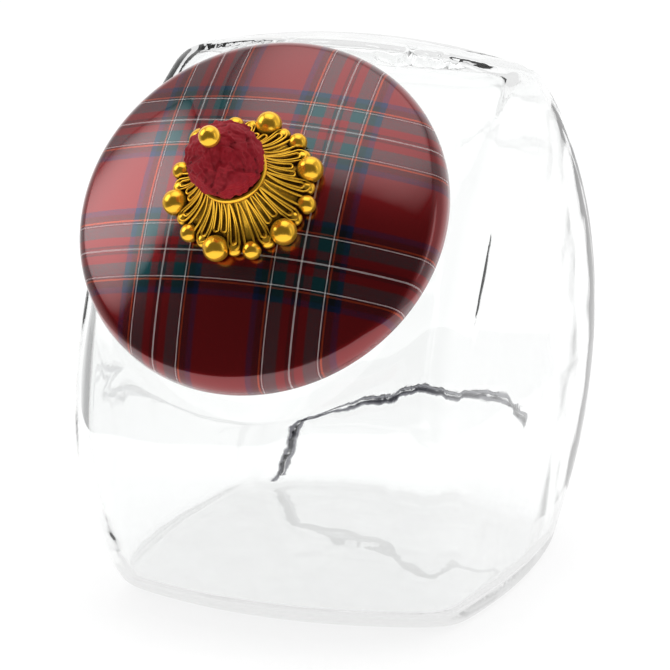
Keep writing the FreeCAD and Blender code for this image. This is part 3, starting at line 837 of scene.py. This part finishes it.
def petal_height(angle, height):
    """How far the carved petals stand out at this place on the bud."""
    level = 0.0
    for tier, (count, first, tip, half) in enumerate(PETAL_TIERS):
        layer = (len(PETAL_TIERS) - tier) * PETAL_THICKNESS / len(PETAL_TIERS)
        for step in range(count):
            twist = (height - BUD_HEIGHTS[0]) * 1.1
            centre = first + step * 360.0 / count + twist
            away = (angle - centre + 180.0) % 360.0 - 180.0
            ragged = noise.noise(Vector((angle * 0.05, height * 0.2, tier * 7.0)))
            brink = tip - 13.0 * (away / half) ** 2 + 3.0 * ragged
            inside = min(max((brink - height) / 0.9 + 0.5, 0.0), 1.0)
            curl = math.exp(-((brink - height - 0.9) / 1.1) ** 2)
            below = min(max(brink - height, 0.0) / 6.0, 1.0)
            vein = 0.16 * math.cos(math.radians(away) * 26.0) * below
            level = max(level, (layer + 0.45 * curl + vein) * inside)
    return level


def carved_bud(material):
    """Bud of overlapping carved petals with a hand-worked surface."""
    rows, around = 110, 200
    fit = np.polyfit(BUD_HEIGHTS, BUD_RADII, 3)
    points = []
    for row in range(rows):
        height = BUD_HEIGHTS[0] + (BUD_HEIGHTS[-1] - BUD_HEIGHTS[0]) * row / (rows - 1)
        radius = float(np.polyval(fit, height))
        for step in range(around):
            angle = 360.0 * step / around
            turn = math.radians(angle)
            spot = Vector((math.cos(turn) * radius, math.sin(turn) * radius, height))
            dents = noise.noise(spot * 0.25) * 1.0 + noise.noise(spot * 0.6) * 0.6
            fade = min((height - BUD_HEIGHTS[0]) / 2.0, 1.0)
            out = radius - 0.35 + fade * (petal_height(angle, height) + dents)
            points.append((math.cos(turn) * out, math.sin(turn) * out, height))
    faces = grid_faces(rows, around)
    faces.append(tuple(reversed(range(around))))
    faces.append(tuple(range((rows - 1) * around, rows * around)))
    return build_mesh("carved_bud", points, faces, material, "lid", ("bud",))


# ---- stage and camera -----------------------------------------------------------------------
def camera_axes():
    """Right, up and forward of the camera before its roll."""
    forward = Vector((-math.sin(AZIMUTH) * math.cos(ELEVATION),
                      math.cos(AZIMUTH) * math.cos(ELEVATION), -math.sin(ELEVATION)))
    right = Vector((math.cos(AZIMUTH), math.sin(AZIMUTH), 0.0))
    up = right.cross(forward)
    return right, up, forward


def add_camera():
    """Camera at the viewing angle of the reference."""
    right, up, forward = camera_axes()
    target = right * TARGET_RIGHT + Vector((0.0, 0.0, TARGET_HEIGHT))
    tilted_right = right * math.cos(ROLL) + up * math.sin(ROLL)
    tilted_up = up * math.cos(ROLL) - right * math.sin(ROLL)
    data = bpy.data.cameras.new("camera")
    data.lens = LENS
    data.sensor_width = 36.0
    data.clip_end = 50.0
    camera = bpy.data.objects.new("camera", data)
    axes = Matrix((tilted_right, tilted_up, -forward)).transposed()
    camera.matrix_world = Matrix.Translation(target - forward * DISTANCE) @ axes.to_4x4()
    bpy.context.scene.collection.objects.link(camera)
    bpy.context.scene.camera = camera


def add_card(name, place, aim, size, strength):
    """Glowing card that faces its aim, fades towards its edges and is clear from behind."""
    nodes = Nodes(name)
    split = nodes.add("ShaderNodeSeparateXYZ")
    nodes.link(nodes.coordinates(), split.inputs[0])
    fade = strength
    for side, reach in zip(split.outputs, size):
        share = nodes.math("DIVIDE", nodes.math("ABSOLUTE", side), reach / 2.0)
        edge = nodes.math("SUBTRACT", 1.0, nodes.math("POWER", share, 5.0))
        fade = nodes.math("MULTIPLY", fade, edge)
    glow = nodes.add("ShaderNodeEmission")
    nodes.link(fade, glow.inputs["Strength"])
    sided = nodes.add("ShaderNodeMixShader")
    nodes.link(nodes.add("ShaderNodeNewGeometry").outputs["Backfacing"], sided.inputs[0])
    nodes.link(glow.outputs[0], sided.inputs[1])
    nodes.link(nodes.add("ShaderNodeBsdfTransparent").outputs[0], sided.inputs[2])
    nodes.link(sided.outputs[0], nodes.output.inputs["Surface"])
    mesh = bpy.data.meshes.new(name)
    across, along = size[0] / 2.0, size[1] / 2.0
    mesh.from_pydata([(-across, -along, 0), (across, -along, 0), (across, along, 0),
                      (-across, along, 0)], [], [(0, 1, 2, 3)])
    mesh.materials.append(nodes.material)
    card = bpy.data.objects.new(name, mesh)
    card.location = place
    card.rotation_euler = (Vector(aim) - Vector(place)).to_track_quat("Z", "Y").to_euler()
    bpy.context.scene.collection.objects.link(card)


def add_room():
    """Room that is dark in front of the object and bright behind it."""
    world = bpy.data.worlds.new("room")
    world.use_nodes = True
    tree = world.node_tree
    background = tree.nodes["Background"]
    place = tree.nodes.new("ShaderNodeTexCoord")
    split = tree.nodes.new("ShaderNodeSeparateXYZ")
    ramp = tree.nodes.new("ShaderNodeValToRGB")
    ramp.color_ramp.elements.new(0.5)
    ramp.color_ramp.elements.new(0.6)
    for element, (side, level) in zip(ramp.color_ramp.elements, ROOM):
        element.position = side / 2.0 + 0.5
        element.color = (level, level, level, 1.0)
    half = tree.nodes.new("ShaderNodeMath")
    half.operation = "MULTIPLY_ADD"
    half.inputs[1].default_value = 0.5
    half.inputs[2].default_value = 0.5
    tree.links.new(place.outputs["Generated"], split.inputs[0])
    tree.links.new(split.outputs[1], half.inputs[0])
    tree.links.new(half.outputs[0], ramp.inputs[0])
    tree.links.new(ramp.outputs[0], background.inputs[0])
    bpy.context.scene.world = world


def add_stage():
    """Bright pale floor and soft lights."""
    nodes = Nodes("floor")
    shader = nodes.principled(Roughness=0.9, Specular_IOR_Level=0.0,
                              Emission_Color=(1.0, 1.0, 1.0))
    # painted shadow: ambient occlusion dims the floor's glow near the jar as a soft contact
    # shadow
    contact = nodes.add("ShaderNodeAmbientOcclusion", samples=8)
    contact.inputs["Distance"].default_value = CONTACT_REACH
    shade = nodes.math("MULTIPLY_ADD", contact.outputs["AO"], CONTACT_SHADE, FLOOR_GLOW)
    nodes.link(shade, shader.inputs["Emission Strength"])
    tint = nodes.noise(nodes.coordinates(), 3.0)
    colour = nodes.mix(tint, (0.15, 0.15, 0.15), (0.17, 0.17, 0.17))
    nodes.link(colour, shader.inputs["Base Color"])
    mesh = bpy.data.meshes.new("floor")
    right = [(TABLE_SIDE, TABLE_FRONT), (TABLE_SIDE, TABLE_BACK), (SWEEP_SIDE, SWEEP_START),
             (SWEEP_SIDE, SWEEP_BACK)]
    outline = right + [(-x, y) for x, y in reversed(right)]
    mesh.from_pydata([(x, y, 0.0) for x, y in outline], [], [tuple(range(len(outline)))])
    mesh.materials.append(nodes.material)
    floor = bpy.data.objects.new("floor", mesh)
    floor.location.z = -0.0003
    floor.rotation_euler.z = AZIMUTH
    bpy.context.scene.collection.objects.link(floor)
    for card in CARDS:
        add_card(*card)


def main():
    """Builds every piece, then the room, the floor, the lights and the camera."""
    glass = glass_material()
    tartan = tartan_material()
    gold = gold_material()
    lacquer = lacquer_material()
    steel = plain_material("pressed_steel", (0.60, 0.60, 0.61), 0.3, 1.0)
    rod_steel = plain_material("rod_steel", (0.50, 0.50, 0.50), 0.35, 1.0)
    silicone = plain_material("clear_silicone", (0.80, 0.81, 0.80), 0.4, 0.0,
                              Transmission_Weight=0.6)
    rubber = plain_material("black_rubber", (0.03, 0.03, 0.03), 0.6)
    glass_jar(glass)
    lid_shell(tartan)
    cast_flower(gold)
    balls("large_balls", LARGE_BALL, FIRST_BALL, "large_beads", gold)
    balls("small_balls", SMALL_BALL, FIRST_BALL + 180.0 / BALLS, "small_beads", gold)
    collar_ring(gold)
    carved_bud(lacquer)
    tip_knob(gold)
    finishes = {"locating_ring": steel, "sealing_gasket": silicone,
                "tie_rod": rod_steel, "backing_washer": rod_steel,
                "finial_nut": rod_steel, "tip_pin": rod_steel, "seat_pad": rubber}
    for name, finish in finishes.items():
        node = frame["nodes"][name]
        node.data.materials.clear()
        node.data.materials.append(finish)
    add_room()
    add_stage()
    add_camera()
    bpy.context.scene.view_settings.view_transform = "Standard"


main()
